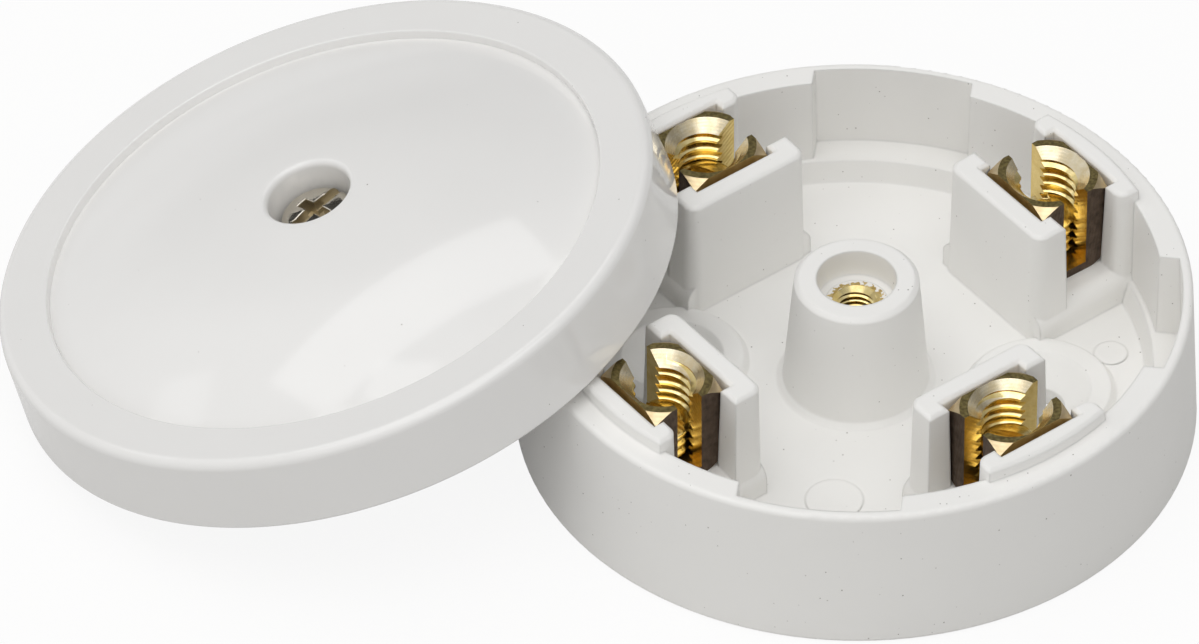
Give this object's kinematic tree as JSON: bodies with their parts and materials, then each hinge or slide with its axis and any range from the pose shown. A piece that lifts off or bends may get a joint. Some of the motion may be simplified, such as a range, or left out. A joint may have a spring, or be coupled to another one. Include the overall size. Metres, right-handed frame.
{
  "type": "junction box",
  "caption": "Small round junction box, open, with slotted brass terminals round a centre boss and its domed screw-down cover leaning on the rim.",
  "frame": {"origin": "centre of the box's back face, on its axis, where it sits on the wall or table", "axes": "+Z out of the back face along the box's axis, towards its open mouth; the knock-outs lie on X and Y; the cover leans on the rim from -X"},
  "size_m": [0.1062, 0.0612, 0.0246],
  "materials": {
    "moulding_matt_white": "moulded, satin",
    "moulding_gloss_white": "moulded, polished",
    "brass": "drawn and sawn",
    "nickel_plated_steel": "nickel plated",
    "washer_fibre": "punched nylon sheet"
  },
  "bodies": {
    "box": {"base": "moulding_matt_white", "centre_insert": "brass", "terminal_body_1": "brass", "terminal_body_2": "brass", "terminal_body_3": "brass", "terminal_body_4": "brass", "cover": "moulding_gloss_white"},
    "cover_screw": {"cover_screw": "nickel_plated_steel", "screw_retaining_washer": "washer_fibre"},
    "terminal_screw_1": {"terminal_screw_1": "brass"},
    "terminal_screw_2": {"terminal_screw_2": "brass"},
    "terminal_screw_3": {"terminal_screw_3": "brass"},
    "terminal_screw_4": {"terminal_screw_4": "brass"}
  },
  "joints": [
    {"name": "cover_screw_turn", "type": "hinge", "parent": "box", "child": "cover_screw", "pos_m": [-0.04523, 0, 0.00891], "axis": [-0.2912, 0, 0.9567], "continuous": true},
    {"name": "terminal_screw_1_travel", "type": "slide", "parent": "box", "child": "terminal_screw_1", "axis": [0, 0, 1], "range_m": [-0.0008, 0.0045]},
    {"name": "terminal_screw_2_travel", "type": "slide", "parent": "box", "child": "terminal_screw_2", "axis": [0, 0, 1], "range_m": [-0.0003, 0.0045]},
    {"name": "terminal_screw_3_travel", "type": "slide", "parent": "box", "child": "terminal_screw_3", "axis": [0, 0, 1], "range_m": [-0.0002, 0.0045]},
    {"name": "terminal_screw_4_travel", "type": "slide", "parent": "box", "child": "terminal_screw_4", "axis": [0, 0, 1], "range_m": [-0.0009, 0.0045]}
  ]
}
